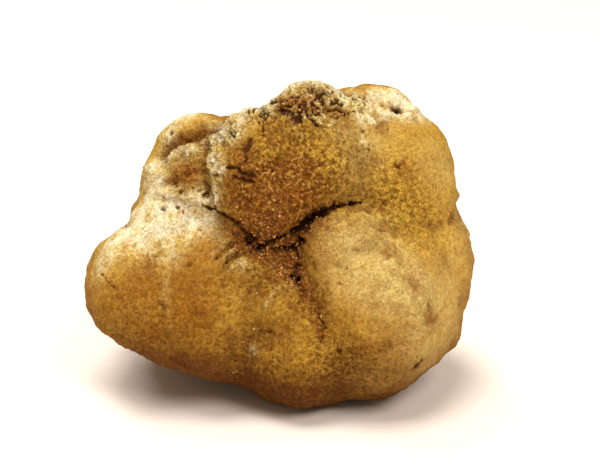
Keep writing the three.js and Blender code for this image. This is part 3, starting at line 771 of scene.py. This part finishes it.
def new_tree(name, inputs):
    """A Geometry Nodes tree with a geometry in and out, and named inputs."""
    tree = bpy.data.node_groups.new(name, "GeometryNodeTree")
    tree.interface.new_socket("Geometry", in_out="INPUT", socket_type="NodeSocketGeometry")
    tree.interface.new_socket("Geometry", in_out="OUTPUT", socket_type="NodeSocketGeometry")
    for label, (kind, value) in inputs.items():
        socket = tree.interface.new_socket(label, in_out="INPUT", socket_type="NodeSocket" + kind)
        if value is not None:
            socket.default_value = value
    formulas = Formulas(tree)
    return formulas, formulas.add("NodeGroupInput").outputs


def attribute(f, name):
    return f.get("GeometryNodeInputNamedAttribute", {"Name": name}, data_type="FLOAT")


# %% [markdown]
# Two measurements carry the relief. How hollow a place is comes from blurring the skin: in a furrow, the
# blurred skin lies outside the true one. How near a crack or a ridge is comes from its edges, and the
# depth fades with the distance like a bell curve, so no cut has a hard border.

# %% Hollowness and routes
WIDE_BLUR, WIDE_HOLLOW = 160, 0.9 * MM
NEAR_BLUR, NEAR_HOLLOW = 25, 0.15 * MM


def hollowness(f, place, normal, rounds, full):
    """0 on a lobe, 1 where the blurred skin lies at least the full distance outside the true one."""
    feeds = {"Value": place, "Iterations": rounds}
    blurred = f.get("GeometryNodeBlurAttribute", feeds, data_type="FLOAT_VECTOR")
    rise = f.vector("DOT_PRODUCT", f.vector("SUBTRACT", blurred, place), normal)
    return f.ramp(rise, 0.0, full)


def along(f, routes, place):
    """The depth and the tone that the nearest route gives a place, both less away from it."""
    edges = f.get("GeometryNodeObjectInfo", {"Object": routes}, "Geometry")
    feeds = {0: edges, "Sample Position": place}
    gap = f.get("GeometryNodeProximity", feeds, "Distance", target_element="EDGES")
    nearest = f.get("GeometryNodeSampleNearest", feeds)
    width, depth, tone = (
        f.get("GeometryNodeSampleIndex", {0: edges, "Value": attribute(f, name), "Index": nearest})
        for name in ("width", "depth", "tone")
    )
    uneven = f.ramp(f.noise(place, 0.9 * MM, 3.0), 0.35, 0.65, 0.5, 1.5)
    share = f.math("DIVIDE", gap, f.times(width, uneven))
    inside = f.math("EXPONENT", f.times(f.times(share, share), -1.0))
    return f.times(inside, depth), f.times(inside, tone)


# %% [markdown]
# Soil is rough and granular. It lies where the skin is hollow and in its patches, and its clods are two
# sizes of rounded cells. The crust comes off in layers: a soft noise is cut into a few levels, like the
# height lines of a map, and each line becomes the torn edge of a layer, with a gap under it.

# %% Soil and crust
CRUST_LAYERS = 6


def soil_share(f, place, seed, wide_hollow, near_hollow):
    """Where soil clings: in its patches and in hollows, with a ragged edge, and less in the patches of sheen
    and bare rind.
    """
    ragged = f.times(f.swing(place, 2.6 * MM, seed, 4.0, 0.65), 0.35)
    held = f.plus(
        attribute(f, "soil_patch"),
        f.times(wide_hollow, 0.15),
        f.times(near_hollow, 0.25),
        f.times(attribute(f, "bare_patch"), -0.5),
        ragged,
    )
    return f.ramp(held, 0.2, 0.9)


def clods(f, given, place, soil):
    """The height of the soil's small and large clods."""
    small = f.cells(place, given["Soil grain"], feature="SMOOTH_F1", Smoothness=0.3)
    large = f.cells(place, f.times(given["Soil grain"], 2.1), feature="SMOOTH_F1", Smoothness=0.4)
    height = f.math("SUBTRACT", 0.5, f.plus(f.times(small, 0.55), f.times(large, 0.5)))
    return f.times(f.times(height, soil), f.times(given["Soil height"], 2.0))


def crust(f, given, place):
    """Layers that have flaked off: where they are, their height, the gap under each edge, and its lip."""
    ragged = f.times(f.swing(place, 2.0 * MM, given["Seed"], 3.0), 0.3)
    broken = f.ramp(f.plus(attribute(f, "crust_patch"), ragged), 0.3, 0.7)
    bent = f.shaken(place, 1.2 * MM, 1.6 * MM, given["Seed"], 3.0)
    layers = f.times(f.noise(bent, given["Crust plate"], given["Seed"], 3.0, 0.6), CRUST_LAYERS)
    rest = f.math("FRACT", layers)
    gap = f.ramp(f.math("ABSOLUTE", f.math("SUBTRACT", rest, 0.58)), 0.06, 0.24, 1.0, 0.0)
    lip = f.ramp(rest, 0.02, 0.30, 1.0, 0.0)
    level = f.plus(f.math("FLOOR", layers), f.ramp(rest, 0.70, 1.0))
    step = f.times(f.math("SUBTRACT", level, CRUST_LAYERS / 2), given["Crust step"])
    return broken, f.times(step, broken), f.times(gap, broken), f.times(lip, broken)


# %% [markdown]
# Under all that, the rind itself is lumpy, dimpled here and there, and as grainy as suede. The grain is a
# pattern of cells, like packed pebbles. It is strong in its patches, weak elsewhere, and gone where the
# crust broke off.


# %% Lumps, dimples and grain
def lumps(f, given, place):
    swell = f.times(f.swing(place, given["Swell length"], given["Seed"], 1.0), given["Swell height"])
    return f.plus(swell, f.times(f.swing(place, given["Lump length"], given["Seed"]), given["Lump height"]))


def dimples(f, given, place):
    """Round dimples, here and there."""
    gap = f.cells(f.shaken(place, 2.0 * MM, 1.5 * MM, given["Seed"]), given["Dimple length"])
    some = f.ramp(f.noise(place, 5 * MM, given["Seed"]), 0.42, 0.58)
    return f.times(f.times(f.ramp(gap, 0.05, 0.38, -1.0, 0.0), some), given["Dimple depth"])


def grain(f, given, place, broken):
    """The height of the grain, and the dents between its pebbles."""
    grainy = attribute(f, "grain_patch")
    gentle = f.plus(0.2, f.times(grainy, 0.9), f.times(attribute(f, "bare_patch"), -0.15))
    gentle = f.times(gentle, f.math("MULTIPLY_ADD", broken, -0.75, 1.0))
    pebbles = f.cells(f.shaken(place, 0.8 * MM, 0.6 * MM, given["Seed"]), given["Grain length"])
    height = f.times(f.math("MULTIPLY_ADD", pebbles, -2.2, 1.0), f.times(given["Grain height"], gentle))
    return height, f.times(f.ramp(pebbles, 0.38, 0.75), grainy)


def height_of(f, vector):
    return f.add("ShaderNodeSeparateXYZ", {0: vector}).outputs[2]


def underside(f, place, normal):
    """1 where the skin is low and faces the ground."""
    facing_down = f.ramp(f.times(height_of(f, normal), -1.0), -0.25, 0.45)
    return f.times(facing_down, f.ramp(height_of(f, place), 6 * MM, 26 * MM, 1.0, 0.0))


def above_floor(f, place):
    """The place, lifted to the surface that the truffle rests on if it is below it."""
    across, deep, up = f.add("ShaderNodeSeparateXYZ", {0: place}).outputs
    return f.get("ShaderNodeCombineXYZ", {0: across, 1: deep, 2: f.math("MAXIMUM", up, 0.0)})


# %% [markdown]
# The tree puts them together. Each height is worked out on the smooth skin, so none of them disturbs the
# next. The last nodes are Realize Instances and Set Material: the finished piece has to be a plain mesh
# with its own material.


# %% The relief tree
def relief_tree():
    f, given = new_tree("truffle_relief", RELIEF_INPUTS)
    seed = given["Seed"]
    place = f.get("GeometryNodeInputPosition")
    normal = f.get("GeometryNodeInputNormal")
    wide_hollow = hollowness(f, place, normal, WIDE_BLUR, WIDE_HOLLOW)
    near_hollow = hollowness(f, place, normal, NEAR_BLUR, NEAR_HOLLOW)
    soil = soil_share(f, place, seed, wide_hollow, near_hollow)
    cut, crack = along(f, given["Cracks"], f.shaken(place, 1.3 * MM, given["Crack wobble"], seed, 3.0))
    rise, pale = along(f, given["Ridges"], f.shaken(place, 2.5 * MM, 1.2 * MM, seed, 3.0))
    uneven = f.ramp(f.noise(place, 1.8 * MM, seed, 3.0), 0.35, 0.6, 0.45, 1.15)
    broken, step, gap, lip = crust(f, given, place)
    pebbles, dent = grain(f, given, place, broken)

    broad = f.plus(lumps(f, given, place), dimples(f, given, place), f.times(rise, uneven))
    cuts = f.plus(f.times(gap, given["Crust gap"]), cut)
    height = f.plus(broad, pebbles, clods(f, given, place, soil), step, f.times(cuts, -1.0))
    # Of these, the material paints shade from fold, gap, crack, dent and under and from the low side of high,
    # and a highlight from pale and from the high side of high.
    stored = {
        "soil": soil,
        "crack": crack,
        "fold": near_hollow,
        "gap": gap,
        "lip": lip,
        "crust": broken,
        "under": underside(f, place, normal),
        "pale": f.times(pale, uneven),
        "dent": dent,
        "high": f.math("DIVIDE", broad, 1.0 * MM),
    }
    skin = given["Geometry"]
    for name, value in stored.items():
        skin = f.get("GeometryNodeStoreNamedAttribute", {"Geometry": skin, "Name": name, "Value": value})
    moved = above_floor(f, f.vector("ADD", place, f.vector("SCALE", normal, Scale=height)))
    skin = f.get("GeometryNodeSetPosition", {"Geometry": skin, "Position": moved})
    skin = f.get("GeometryNodeSetShadeSmooth", {"Geometry": skin})
    skin = f.get("GeometryNodeRealizeInstances", {"Geometry": skin})
    skin = f.get("GeometryNodeSetMaterial", {"Geometry": skin, "Material": given["Material"]})
    f.add("NodeGroupOutput", {"Geometry": skin})
    return f.tree


# %% [markdown]
# ## The rind's material
# The rind is matt and looks like fine suede. A scanned image could be wrapped round it, but would smear
# where it stretches and wouldn't know where the cracks are. So its colour is built from noise in layers,
# the way it comes on the real thing. Noise is read from Object coordinates, which don't stretch, and the
# places of soil, cracks and bare rind from the attributes. The colours run from cream through ochre to a
# brown that is nearly black. They are given as they look on a screen, because that is how colours are
# picked, and turned into light for the shader.


# %% The colours
def from_screen(red, green, blue):
    """A colour given as it looks on a screen, from 0 to 255, as the light it stands for."""
    shares = (red / 255, green / 255, blue / 255)
    return (*(s / 12.92 if s <= 0.04045 else ((s + 0.055) / 1.055) ** 2.4 for s in shares), 1.0)


OCHRE = from_screen(178, 131, 32)
OCHRE_DEEP = from_screen(138, 87, 13)
GOLD = from_screen(204, 160, 50)
STRAW = from_screen(213, 187, 116)
PALE_GOLD = tuple((gold + straw) / 2 for gold, straw in zip(GOLD, STRAW))
# Cream: mostly the painted highlight on the tops and crests, and the crust's pale flakes.
CREAM = from_screen(242, 234, 198)
# Pores, and the painted shade in the dents between the pebbles of the grain.
PORE_AND_SHADE = from_screen(96, 48, 10)
# Painted shade low down where the rind faces the ground, and at the corners of the mouth.
LOW_SHADE = from_screen(80, 37, 9)
BROWN = from_screen(112, 56, 12)
SOIL = from_screen(156, 92, 28)
# Dark soil, and the painted shade in folds, under the crust's edges and in cracks.
SOIL_DARK_AND_SHADE = from_screen(84, 42, 12)
SOIL_PALE = from_screen(212, 158, 76)
# Near black: painted shade deep in the cracks and pits and under the crust's edges.
DEEP_SHADE = from_screen(26, 11, 4)
print("ochre as light:", [round(share, 3) for share in OCHRE[:3]])

# %% [markdown]
# Painting in layers needs a node that mixes two colours, a way to read an attribute, and a last step that
# turns the colour, the gloss and the bump into a surface. The rest of the formulas are the same as in the
# relief.


# %% Painting with nodes
class Paint(Formulas):
    """Formulas for a material, with layers of colour."""

    def mix(self, share, under, over):
        """Lays a colour over another one, with that share of it showing."""
        return self.get("ShaderNodeMix", {"Factor": share, "A": under, "B": over}, data_type="RGBA")

    def stored(self, name):
        """What the relief stored under that name."""
        return self.get("ShaderNodeAttribute", out="Fac", attribute_name=name)


def new_material(name):
    material = bpy.data.materials.new(name)
    material.use_nodes = True
    material.node_tree.nodes.clear()
    paint = Paint(material.node_tree)
    return material, paint, paint.get("ShaderNodeTexCoord", out="Object")


def finish_material(paint, colour, roughness, height, height_scale, **constants):
    """Joins the colour, the roughness and a bump of that height into a surface."""
    bump = paint.get("ShaderNodeBump", {"Height": height, "Distance": height_scale, "Strength": 1.0})
    feeds = {"Base Color": colour, "Roughness": roughness, "Normal": bump}
    shader = paint.add("ShaderNodeBsdfPrincipled", feeds)
    for name, value in constants.items():
        shader.inputs[name.replace("_", " ")].default_value = value
    paint.add("ShaderNodeOutputMaterial", {"Surface": shader.outputs[0]})


# %% [markdown]
# The clean rind comes first: ochre in broad clouds, then gold and straw in their patches. Raised places
# are painted paler and sunken ones browner, partly rubbed wear and partly painted highlight and shade on
# the relief. The sheen patches and the crests of the ridges get a painted highlight, up to cream. A
# mottling as wide as a grain of sand lies over all of it.


# %% The clean rind
def noise_sizes(p, place):
    """The noise that the rind's patterns are made of, from broad clouds to the finest grain."""
    return SimpleNamespace(
        clouds=p.noise(place, 7 * MM, 1.0, 4.0, 0.6),
        patches=p.noise(place, 2.2 * MM, 2.0, 3.0, 0.6),
        blotch=p.noise(place, 1.2 * MM, 4.0, 3.0, 0.7),
        coarse=p.noise(place, 0.90 * MM, 9.0, 3.0, 0.7),
        speck=p.noise(place, 0.60 * MM, 10.0, 2.0),
        mottle=p.noise(place, 0.5 * MM, 3.0, 2.0, 0.7),
        grit=p.noise(place, 0.5 * MM, 6.0, 2.0, 0.7),
        fine=p.noise(place, 0.34 * MM, 8.0, 2.0, 0.6),
    )


def clean_rind(p, noise, on):
    """The rind's colour with painted highlight and shade, and how strong its painted highlight is."""
    mixed = p.plus(p.times(noise.blotch, 0.7), p.times(noise.patches, 0.3))
    patchy = p.plus(p.times(noise.patches, 0.6), p.times(noise.blotch, 0.4), p.times(noise.mottle, 0.3))
    # Painted highlight on the sheen patches and the ridges' crests, broken up by noise.
    paler = p.times(p.math("MAXIMUM", on.bare_patch, on.pale), p.ramp(patchy, 0.40, 0.85, 0.3, 1.0))
    colour = p.mix(p.ramp(noise.clouds, 0.38, 0.66), OCHRE_DEEP, OCHRE)
    colour = p.mix(p.times(on.gold_patch, p.ramp(noise.patches, 0.2, 0.7, 0.5, 0.95)), colour, GOLD)
    colour = p.mix(p.times(on.straw_patch, p.ramp(mixed, 0.35, 0.65, 0.4, 1.0)), colour, STRAW)
    # Raised places painted paler, partly wear and partly painted highlight.
    colour = p.mix(p.ramp(on.high, 0.10, 1.00, 0.0, 0.45), colour, PALE_GOLD)
    # The painted highlight: straw, then cream.
    colour = p.mix(p.ramp(paler, 0.0, 0.6, 0.0, 0.9), colour, STRAW)
    colour = p.mix(p.ramp(paler, 0.3, 0.90), colour, CREAM)
    # Sunken places painted browner, as painted shade.
    colour = p.mix(p.ramp(on.high, -0.10, -1.10, 0.0, 0.80), colour, BROWN)
    dark, light = p.mix(0.40, colour, OCHRE_DEEP), p.mix(0.15, colour, STRAW)
    return p.mix(p.ramp(noise.mottle, 0.35, 0.65), dark, light), paler


# %% [markdown]
# The grain shows as dark pits and bright specks, close together where the rind is rough. Brown patches get
# more and darker pits. The dents between the pebbles of the grain are painted dark, as painted shade.
# Larger pores lie here and there, each a small spot in the middle of a random cell.


# %% Pits, specks and pores
def grained_rind(p, noise, on, place, colour, paler):
    """The rind with its grain: the colour, the pits and the bright specks."""
    fine = p.times(noise.fine, 0.20)
    cleaner = p.plus(p.times(paler, -0.06), p.times(on.straw_patch, -0.05))
    browned = p.plus(noise.coarse, p.times(on.brown_patch, 0.18), fine, cleaner)
    browned = p.times(p.ramp(browned, 0.58, 0.90), p.plus(0.55, p.times(on.grain_patch, 0.40)))
    rough = p.plus(0.20, p.times(on.grain_patch, 0.80))
    pits = p.plus(p.times(noise.fine, 0.5), p.times(noise.coarse, 0.55))
    pits = p.times(p.ramp(pits, 0.52, 0.60), rough)
    bright = p.times(p.ramp(noise.speck, 0.53, 0.60), rough)
    dark = p.times(pits, p.math("MULTIPLY_ADD", paler, -0.5, 1.0))
    dark = p.times(dark, p.ramp(on.brown_patch, 0.0, 1.0, 0.75, 1.0))
    pores = p.ramp(p.cells(place, 1.7 * MM), 0.08, 0.20, 1.0, 0.0)
    some = p.ramp(p.noise(place, 3 * MM, 5.0), 0.50, 0.62)
    # The brown patches: partly browner rind, partly painted shade in grooves, under the crown and low on the
    # front.
    colour = p.mix(p.ramp(on.brown_patch, 0.0, 1.0, 0.0, 0.7), colour, OCHRE_DEEP)
    colour = p.mix(browned, colour, BROWN)
    # Painted shade in the dents between the grain's pebbles.
    colour = p.mix(p.times(on.dent, 0.80), colour, PORE_AND_SHADE)
    colour = p.mix(dark, colour, PORE_AND_SHADE)
    colour = p.mix(p.times(bright, 0.60), colour, p.mix(p.ramp(on.brown_patch, 0.0, 0.8), GOLD, SOIL_PALE))
    return p.mix(p.times(p.times(pores, some), 0.55), colour, PORE_AND_SHADE), pits, bright


# %% [markdown]
# On top lie soil in three browns and the pale lips of the crust's torn layers. Painted shade comes last:
# low down where the rind faces the ground, in the folds, where it is partly soil, in the gaps under the
# crust and in the cracks, dark whatever lies round them.


# %% Soil, crust and painted shade
def soiled_rind(p, noise, on, colour):
    """The colour with soil and flaked crust laid over it, and painted shade low down, in folds, under the
    crust's edges and in cracks.
    """
    earth = p.mix(p.ramp(noise.grit, 0.38, 0.56), SOIL_DARK_AND_SHADE, SOIL)
    earth = p.mix(p.ramp(noise.grit, 0.55, 0.66, 0.0, 0.75), earth, SOIL_PALE)
    flakes = p.ramp(p.plus(p.times(noise.patches, 0.7), p.times(noise.coarse, 0.3)), 0.46, 0.60)
    lips = p.times(on.lip, p.ramp(noise.patches, 0.35, 0.60, 0.2, 1.0))
    flakes = p.math("MAXIMUM", p.times(p.times(on.crust, flakes), 0.6), lips)
    # Painted shade low down where the rind faces the ground, less on the straw patches, and in its own
    # patches.
    shade_low = p.times(on.under, p.math("MULTIPLY_ADD", on.straw_patch, -0.85, 0.90))
    shade_low = p.math("MAXIMUM", shade_low, on.stain_patch)
    colour = p.mix(p.times(on.soil, 0.85), colour, earth)
    colour = p.mix(p.times(flakes, 0.80), colour, STRAW)
    colour = p.mix(p.ramp(flakes, 0.5, 1.0, 0.0, 0.6), colour, CREAM)
    colour = p.mix(p.times(shade_low, p.ramp(noise.coarse, 0.38, 0.62, 0.80, 1.0)), colour, LOW_SHADE)
    # Folds: darker, partly soil and partly painted shade.
    colour = p.mix(p.times(on.fold, 0.30), colour, SOIL_DARK_AND_SHADE)
    # Painted shade in the gaps under the crust's edges.
    colour = p.mix(p.ramp(on.gap, 0.15, 0.60, 0.0, 0.9), colour, SOIL_DARK_AND_SHADE)
    colour = p.mix(p.ramp(on.gap, 0.60, 1.00, 0.0, 0.6), colour, DEEP_SHADE)
    # Painted shade inside the cracks and pits.
    colour = p.mix(p.ramp(on.crack, 0.10, 0.50, 0.0, 0.90), colour, SOIL_DARK_AND_SHADE)
    return p.mix(p.ramp(on.crack, 0.45, 0.90, 0.0, 0.97), colour, DEEP_SHADE)


# %% [markdown]
# The finish is the last choice. Soil and rind are both rough, and the rind shines very little, because
# even a faint shine would wash the dark folds out. The bump only adds the finest grain, and a dent for each
# dark pit in the colour. Everything larger is in the mesh.

# %% The rind
GRAIN_BUMP = 0.32 * MM
FAINT_SHINE = 0.06
KEPT = (
    "soil", "crack", "fold", "gap", "lip", "crust", "under", "pale", "dent", "high",
    "bare_patch", "straw_patch", "brown_patch", "stain_patch", "gold_patch", "grain_patch",
)


def rind_material():
    material, p, place = new_material("rind")
    on = SimpleNamespace(**{name: p.stored(name) for name in KEPT})
    noise = noise_sizes(p, place)
    colour, paler = clean_rind(p, noise, on)
    colour, pits, bright = grained_rind(p, noise, on, place, colour, paler)
    colour = soiled_rind(p, noise, on, colour)
    height = p.plus(
        p.noise(place, 0.42 * MM, 7.0, 3.0, 0.6),
        p.times(on.soil, noise.grit),
        p.times(pits, -0.8),
        p.times(bright, 0.5),
    )
    roughness = p.ramp(on.soil, 0.0, 1.0, 0.75, 0.95)
    finish_material(p, colour, roughness, height, GRAIN_BUMP, Specular_IOR_Level=FAINT_SHINE)
    return material


rind = rind_material()
print("rind material with", len(rind.node_tree.nodes), "nodes")

# %% [markdown]
# ## Bake the relief
# The tree goes on the skin as a modifier. Its inputs are set by the identifiers of their sockets, before
# anything is evaluated. The result is then kept as a plain mesh, and the routes of the cracks have done
# their work.


# %% Bake the relief
def dress(piece, tree, values):
    """Puts a tree on a piece as a modifier, with these values for its named inputs."""
    modifier = piece.modifiers.new(tree.name, "NODES")
    modifier.node_group = tree
    for item in tree.interface.items_tree:
        if item.in_out == "INPUT" and item.name in values:
            modifier[item.identifier] = values[item.name]


dress(skin, relief_tree(), {"Cracks": cracks, "Ridges": ridges, "Material": rind})
truffle = baked(skin, "truffle_rind")
for routes in (cracks, ridges):
    bpy.data.objects.remove(routes)
print("truffle_rind:", triangles(truffle), "triangles")
for name in ("soil", "crack", "fold", "gap", "crust"):
    layer = np.zeros(len(truffle.data.vertices))
    truffle.data.attributes[name].data.foreach_get("value", layer)
    print("mean of", name, round(float(layer.mean()), 3))

# %% [markdown]
# ## Crumbs of soil
# Soil on a truffle isn't a coat of paint. It is grains that stand on the rind, mostly in the mouth, along
# the folds and in the broken crust. A particle system could strew them, but particles aren't a mesh that
# can be handed on. So points are scattered over the finished rind, thickly where the soil is, and each
# carries one of a few lumpy grains, turned and scaled at random. A grain is a cube of three points a side,
# pushed out round and then dented by noise.

# %% The grains
CRUMB_INPUTS = {
    "Material": ("Material", None),
    "Crumbs per square metre": ("Float", 2.2e6),
    "Smallest": ("Float", 0.20 * MM),
    "Largest": ("Float", 0.75 * MM),
    "Seed": ("Int", 11),
}
GRAIN_SHAPES = 4
GRAIN_POINTS = 3
GRAIN_TRIANGLES = 6 * (GRAIN_POINTS - 1) ** 2 * 2


def grain_shapes(f):
    """A few lumpy grains, each one unit wide, as instances to pick from."""
    shapes = f.add("GeometryNodeJoinGeometry")
    place = f.get("GeometryNodeInputPosition")
    feeds = {"Size": (1, 1, 1), **{"Vertices " + axis: GRAIN_POINTS for axis in "XYZ"}}
    for shape in range(GRAIN_SHAPES):
        block = f.get("GeometryNodeMeshCube", feeds)
        uneven = f.math("MULTIPLY_ADD", f.noise(place, 0.7, float(shape), 1.0), 0.9, 0.05)
        round_place = f.vector("SCALE", f.vector("NORMALIZE", place), Scale=uneven)
        grain = f.get("GeometryNodeSetPosition", {"Geometry": block, "Position": round_place})
        f.tree.links.new(f.get("GeometryNodeGeometryToInstance", {0: grain}), shapes.inputs[0])
    return shapes.outputs[0]


def at_random(f, low, high, seed, kind="FLOAT"):
    return f.get("FunctionNodeRandomValue", {"Min": low, "Max": high, "Seed": seed}, data_type=kind)


print("each crumb has", GRAIN_TRIANGLES, "triangles")

# %% [markdown]
# The crumbs lie thickest where soil lies thick, a few are in every fold, and none is so low that it would
# stick through the surface below. Small ones are far more common than large ones, as in any handful of
# soil, so a random number is raised to a power before it becomes a size. Each crumb also gets a random
# tone, which its material turns into one of the three browns.


# %% Scatter the crumbs
def crumb_density(f, most):
    clear = f.ramp(height_of(f, f.get("GeometryNodeInputPosition")), 1.5 * MM, 3.0 * MM)
    thick = f.plus(f.math("POWER", attribute(f, "soil"), 2.5), f.times(attribute(f, "fold"), 0.12))
    return f.times(f.times(thick, clear), most)


def crumb_tree():
    f, given = new_tree("soil_crumbs", CRUMB_INPUTS)
    density = crumb_density(f, given["Crumbs per square metre"])
    scatter = f.add("GeometryNodeDistributePointsOnFaces", {
        "Mesh": given["Geometry"], "Density": density, "Seed": given["Seed"],
    })
    small = f.math("POWER", at_random(f, 0.0, 1.0, 1), 2.5)
    size = f.plus(f.times(small, f.math("SUBTRACT", given["Largest"], given["Smallest"])), given["Smallest"])
    stretch = at_random(f, (0.7, 0.7, 0.6), (1.2, 1.2, 1.0), 2, "FLOAT_VECTOR")
    turn = at_random(f, (0.0, 0.0, 0.0), (math.tau, math.tau, math.tau), 3, "FLOAT_VECTOR")
    crumbs = f.get("GeometryNodeInstanceOnPoints", {
        "Points": scatter.outputs["Points"],
        "Instance": grain_shapes(f),
        "Pick Instance": True,
        "Instance Index": at_random(f, 0, GRAIN_SHAPES - 1, 4, "INT"),
        "Rotation": f.get("FunctionNodeEulerToRotation", {0: turn}),
        "Scale": f.vector("SCALE", stretch, Scale=size),
    })
    feeds = {"Geometry": crumbs, "Name": "tone", "Value": at_random(f, 0.0, 1.0, 5)}
    crumbs = f.get("GeometryNodeStoreNamedAttribute", feeds, domain="INSTANCE")
    crumbs = f.get("GeometryNodeRealizeInstances", {"Geometry": crumbs})
    crumbs = f.get("GeometryNodeSetShadeSmooth", {"Geometry": crumbs})
    crumbs = f.get("GeometryNodeSetMaterial", {"Geometry": crumbs, "Material": given["Material"]})
    f.add("NodeGroupOutput", {"Geometry": crumbs})
    return f.tree


CRUMB_BUMP = 0.08 * MM
EARTH_ROUGHNESS = 0.9


def soil_material():
    material, p, place = new_material("soil")
    tone = p.stored("tone")
    grit = p.noise(place, 0.3 * MM, 1.0, 2.0)
    colour = p.mix(p.ramp(tone, 0.0, 0.6), SOIL_DARK_AND_SHADE, SOIL)
    colour = p.mix(p.ramp(tone, 0.6, 1.0), colour, SOIL_PALE)
    colour = p.mix(p.ramp(grit, 0.3, 0.7, 0.0, 0.4), colour, SOIL_DARK_AND_SHADE)
    finish_material(p, colour, EARTH_ROUGHNESS, grit, CRUMB_BUMP)
    return material


crumbs = into_scene("crumb_ground", truffle.data.copy())
dress(crumbs, crumb_tree(), {"Material": soil_material()})
crumbs = baked(crumbs, "soil_crumbs")
print("soil_crumbs:", triangles(crumbs), "triangles,", triangles(crumbs) // GRAIN_TRIANGLES, "crumbs")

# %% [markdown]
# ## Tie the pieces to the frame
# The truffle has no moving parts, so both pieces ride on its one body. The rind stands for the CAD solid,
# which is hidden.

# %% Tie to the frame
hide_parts("truffle")
for piece in (truffle, crumbs):
    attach(piece, "root")
print("tied:", truffle.name, crumbs.name)

# %% [markdown]
# ## The floor
# The truffle lies on a plain pale table that fades into the background. One large square is enough,
# because the light is soft and nothing shows where it ends. It is a little warm, so the shadow on it is
# brown and not grey.

# %% The floor
FLOOR_HALF = 2.0
TABLE_DARK = (0.86, 0.74, 0.62, 1.0)
TABLE_LIGHT = (0.88, 0.76, 0.64, 1.0)
TABLE_ROUGHNESS = 0.9
TABLE_BUMP = 0.01 * MM


def table_material():
    material, p, place = new_material("floor")
    speck = p.noise(place, 4 * MM, 1.0, 2.0)
    finish_material(p, p.mix(speck, TABLE_DARK, TABLE_LIGHT), TABLE_ROUGHNESS, speck, TABLE_BUMP)
    return material


floor_mesh = bpy.data.meshes.new("floor")
corners = [(-1, -1), (1, -1), (1, 1), (-1, 1)]
floor_mesh.from_pydata([(x * FLOOR_HALF, y * FLOOR_HALF, LOW.z) for x, y in corners], [], [(0, 1, 2, 3)])
floor_mesh.materials.append(table_material())
floor = into_scene("floor", floor_mesh)
print("floor:", FLOOR_HALF * 2, "m wide")

# %% [markdown]
# ## The lights
# Food looks best in soft light that still has a direction. A sun lamp would draw hard shadows, and light
# from everywhere would flatten the folds. So three wide softboxes do the work: the strongest from above,
# one from the right and the front, and one from behind on the left, which makes the left lobes bright
# along the top. A weak warm light comes from everywhere else, so the folds stay dark and the shadow is
# brown.


# %% The lights
def facing(place, target):
    return (target - place).to_track_quat("-Z", "Y").to_euler()


COOL = (0.97, 1.0, 1.05)
WARM = (1.0, 0.87, 0.70, 1.0)
WARM_STRENGTH = 0.38
# Each softbox: where it stands and how wide it is in metres, and its power in watts.
SOFTBOXES = {
    "key": ((-0.12, -0.25, 1.25), 0.60, 13.4),
    "right_front": ((0.50, -0.70, 0.90), 0.50, 8.8),
    "left_back": ((-0.45, 0.40, 1.05), 0.60, 7.0),
}


def softbox(name, place, width, power):
    light = bpy.data.lights.new(name, "AREA")
    light.shape = "DISK"
    light.size = width
    light.energy = power
    light.color = COOL
    lamp = bpy.data.objects.new(name, light)
    lamp.location = place
    lamp.rotation_euler = facing(lamp.location, MIDDLE)
    bpy.context.scene.collection.objects.link(lamp)


for name, (place, width, power) in SOFTBOXES.items():
    softbox(name, place, width, power)
world = bpy.data.worlds.new("studio")
world.use_nodes = True
backdrop = next(node for node in world.node_tree.nodes if node.type == "BACKGROUND")
backdrop.inputs["Color"].default_value = WARM
backdrop.inputs["Strength"].default_value = WARM_STRENGTH
bpy.context.scene.world = world
bpy.context.scene.view_settings.view_transform = "Standard"
print("softboxes:", ", ".join(SOFTBOXES))

# %% [markdown]
# ## The camera
# The camera looks a little down on the truffle from straight in front. A long lens a third of a metre away
# keeps the lobes in their true proportions, where a short one would swell the nearest of them. The place
# it looks at is worked out from the truffle's box, moved a little so that the shadow has room.

# %% The camera
LENS = 100.0
SENSOR = 36.0
FRAME_WIDTH = 0.120
ELEVATION = math.radians(20)
AIM_UP = 0.474
AIM_RIGHT = 4.0 * MM
AIM_RAISED = 1.6 * MM

backwards = Vector((0, -math.cos(ELEVATION), math.sin(ELEVATION)))
upwards = Vector((0, math.sin(ELEVATION), math.cos(ELEVATION)))
aim = spot(0, 0, AIM_UP) + Vector((AIM_RIGHT, 0, 0)) + upwards * AIM_RAISED
camera_data = bpy.data.cameras.new("camera")
camera_data.lens = LENS
camera_data.sensor_width = SENSOR
camera = bpy.data.objects.new("camera", camera_data)
camera.location = aim + backwards * FRAME_WIDTH * LENS / SENSOR
camera.rotation_euler = facing(camera.location, aim)
bpy.context.scene.collection.objects.link(camera)
bpy.context.scene.camera = camera
print("camera at, mm:", [round(c / MM) for c in camera.location])
